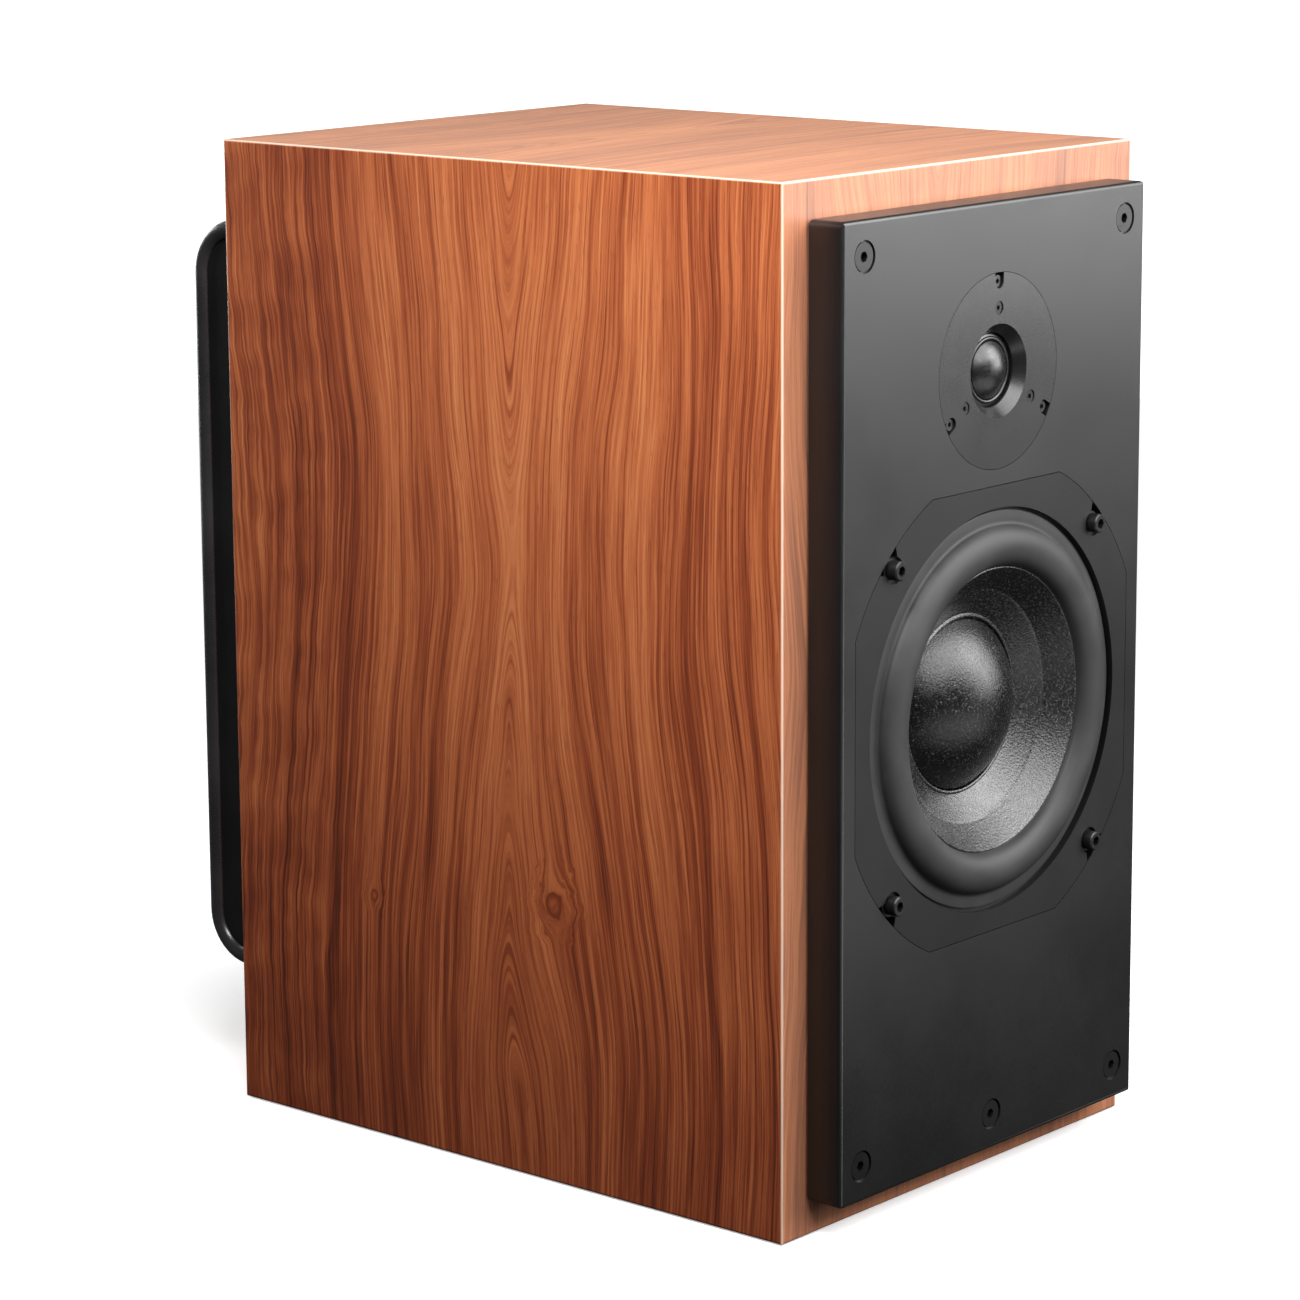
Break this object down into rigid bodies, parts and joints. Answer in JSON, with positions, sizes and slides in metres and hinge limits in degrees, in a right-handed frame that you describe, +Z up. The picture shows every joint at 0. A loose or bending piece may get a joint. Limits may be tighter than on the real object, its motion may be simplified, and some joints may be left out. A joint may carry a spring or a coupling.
{
  "type": "bookshelf speaker",
  "caption": "Active two-way bookshelf loudspeaker: veneered wooden cabinet, proud black baffle, soft-dome tweeter, large-dome woofer and a rear amplifier pack with guard hoops.",
  "frame": {"origin": "centre of the cabinet's underside, where it rests", "axes": "+Z up; the front baffle faces -Y; +X to the right seen from the front"},
  "size_m": [0.242, 0.3831, 0.44],
  "materials": {
    "veneer": "satin lacquered cherry veneer, grain upright",
    "plywood": "raw plywood",
    "wadding": "soft polyester wadding",
    "gasket_foam": "closed cell foam",
    "baffle_paint": "satin black paint",
    "black_fasteners": "blackened steel, satin",
    "brass_inserts": "brushed",
    "tweeter_plate": "satin black anodised",
    "motor_steel": "zinc plated",
    "magnet_ferrite": "sintered, matt",
    "soft_dome": "doped cloth, glossy",
    "copper_coil": "varnished wire",
    "cast_basket": "satin black coated casting",
    "surround_rubber": "matt rubber",
    "spider_cloth": "impregnated cloth",
    "coated_cone": "doped paper and cloth, glossy with fine speckle",
    "black_metal": "satin black powder coat",
    "circuit_board": "solder mask",
    "component_black": "moulded",
    "transformer_tape": "wound polyester tape",
    "black_moulding": "moulded, lightly textured",
    "plated_contacts": "bright plated",
    "led_lens": "translucent, polished",
    "lead_sleeve": "insulated lead"
  },
  "bodies": {
    "cabinet": {"side_panel_left": "veneer", "side_panel_right": "veneer", "top_panel": "veneer", "bottom_panel": "veneer", "front_panel": "veneer", "back_panel": "veneer", "cabinet_brace": "plywood", "acoustic_wadding": "wadding", "baffle_gasket": "gasket_foam", "woofer_gasket": "gasket_foam", "front_baffle": "baffle_paint", "baffle_screws": "black_fasteners", "tweeter_mounting_screws": "black_fasteners", "tweeter_faceplate_screws": "black_fasteners", "woofer_screws": "black_fasteners", "amp_plate_screws": "black_fasteners", "threaded_inserts": "brass_inserts", "tweeter_terminals": "brass_inserts", "woofer_terminals": "brass_inserts", "xlr_contacts": "brass_inserts", "tweeter_faceplate": "tweeter_plate", "tweeter_top_plate": "motor_steel", "tweeter_pole_piece": "motor_steel", "woofer_top_plate": "motor_steel", "woofer_pole_piece": "motor_steel", "transformer_bolt": "motor_steel", "tweeter_magnet": "magnet_ferrite", "woofer_magnet": "magnet_ferrite", "tweeter_surround": "soft_dome", "woofer_basket": "cast_basket", "woofer_surround": "surround_rubber", "woofer_spider": "spider_cloth", "amp_plate": "black_metal", "heatsink": "black_metal", "amp_cheek_left": "black_metal", "amp_cheek_right": "black_metal", "guard_hoop_left": "black_metal", "guard_hoop_right": "black_metal", "amplifier_board": "circuit_board", "power_transistors": "component_black", "filter_capacitors": "component_black", "toroidal_transformer": "transformer_tape", "mains_inlet": "black_moulding", "power_switch_frame": "black_moulding", "xlr_socket": "black_moulding", "mains_inlet_pins": "plated_contacts", "gain_potentiometer": "plated_contacts", "status_led": "led_lens", "driver_leads": "lead_sleeve"},
    "woofer_diaphragm": {"woofer_cone": "coated_cone", "woofer_dome": "coated_cone", "woofer_voice_coil": "copper_coil"},
    "tweeter_diaphragm": {"tweeter_dome": "soft_dome", "tweeter_voice_coil": "copper_coil"},
    "fuse_holder": {"fuse_drawer": "black_moulding", "mains_fuse": "plated_contacts"},
    "power_rocker": {"power_switch_rocker": "black_moulding"},
    "gain_control": {"gain_knob": "black_moulding"},
    "xlr_release": {"xlr_latch": "plated_contacts"}
  },
  "joints": [
    {"name": "woofer_stroke", "type": "slide", "parent": "cabinet", "child": "woofer_diaphragm", "axis": [0, -1, 0], "range_m": [-0.006, 0.006], "stiffness_N_per_m": 1500, "deforming": ["woofer_surround", "woofer_spider"]},
    {"name": "tweeter_stroke", "type": "slide", "parent": "cabinet", "child": "tweeter_diaphragm", "axis": [0, -1, 0], "range_m": [-0.0005, 0.0005], "stiffness_N_per_m": 800, "deforming": ["tweeter_surround"]},
    {"name": "fuse_drawer_slide", "type": "slide", "parent": "cabinet", "child": "fuse_holder", "axis": [0, 1, 0], "range_m": [0, 0.024]},
    {"name": "power_rocker_tilt", "type": "hinge", "parent": "cabinet", "child": "power_rocker", "pos_m": [0.018, 0.1615, 0.104], "axis": [1, 0, 0], "range_deg": [-16, 0]},
    {"name": "gain_turn", "type": "hinge", "parent": "cabinet", "child": "gain_control", "pos_m": [-0.02, 0.1625, 0.104], "axis": [0, 1, 0], "range_deg": [-140, 140]},
    {"name": "xlr_latch_press", "type": "slide", "parent": "cabinet", "child": "xlr_release", "axis": [0, -1, 0], "range_m": [0, 0.0016], "stiffness_N_per_m": 800}
  ]
}
